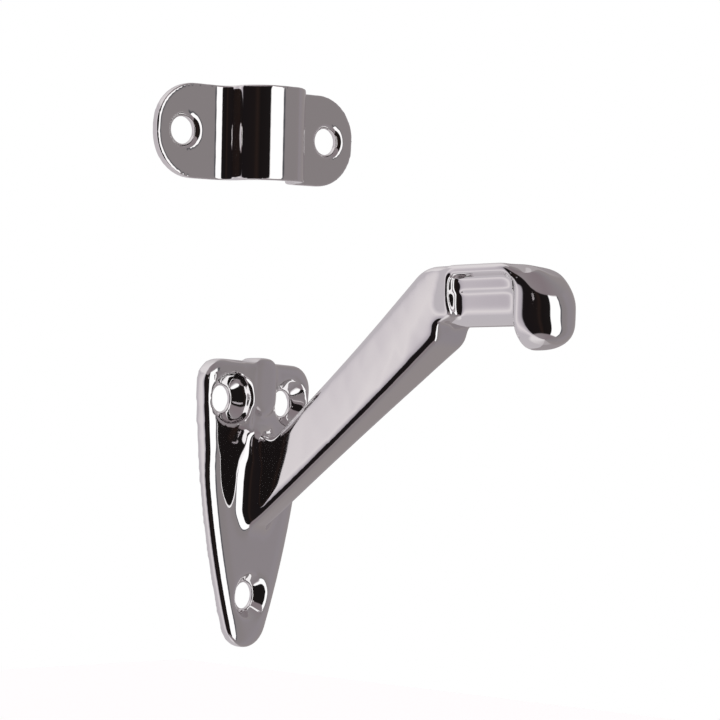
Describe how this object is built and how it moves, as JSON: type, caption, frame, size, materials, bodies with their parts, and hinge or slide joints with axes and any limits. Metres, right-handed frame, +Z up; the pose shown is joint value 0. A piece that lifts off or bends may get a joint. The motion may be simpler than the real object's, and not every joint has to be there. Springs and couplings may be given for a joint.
{
  "type": "handrail bracket",
  "caption": "Cast wall bracket for a handrail: shield-shaped wall plate, sloping arm and a head with a recess, with a folded strap that holds the rail down.",
  "frame": {"origin": "on the wall face, midway between the two upper wall screws", "axes": "+Y into the wall, +Z up, +X to the left of somebody who faces the wall's front; the arm stands out along -Y"},
  "size_m": [0.1302, 0.0965, 0.1006],
  "materials": {
    "bracket": "polished",
    "strap": "polished"
  },
  "bodies": {
    "root": {"bracket": "bracket", "strap": "strap"}
  },
  "joints": []
}
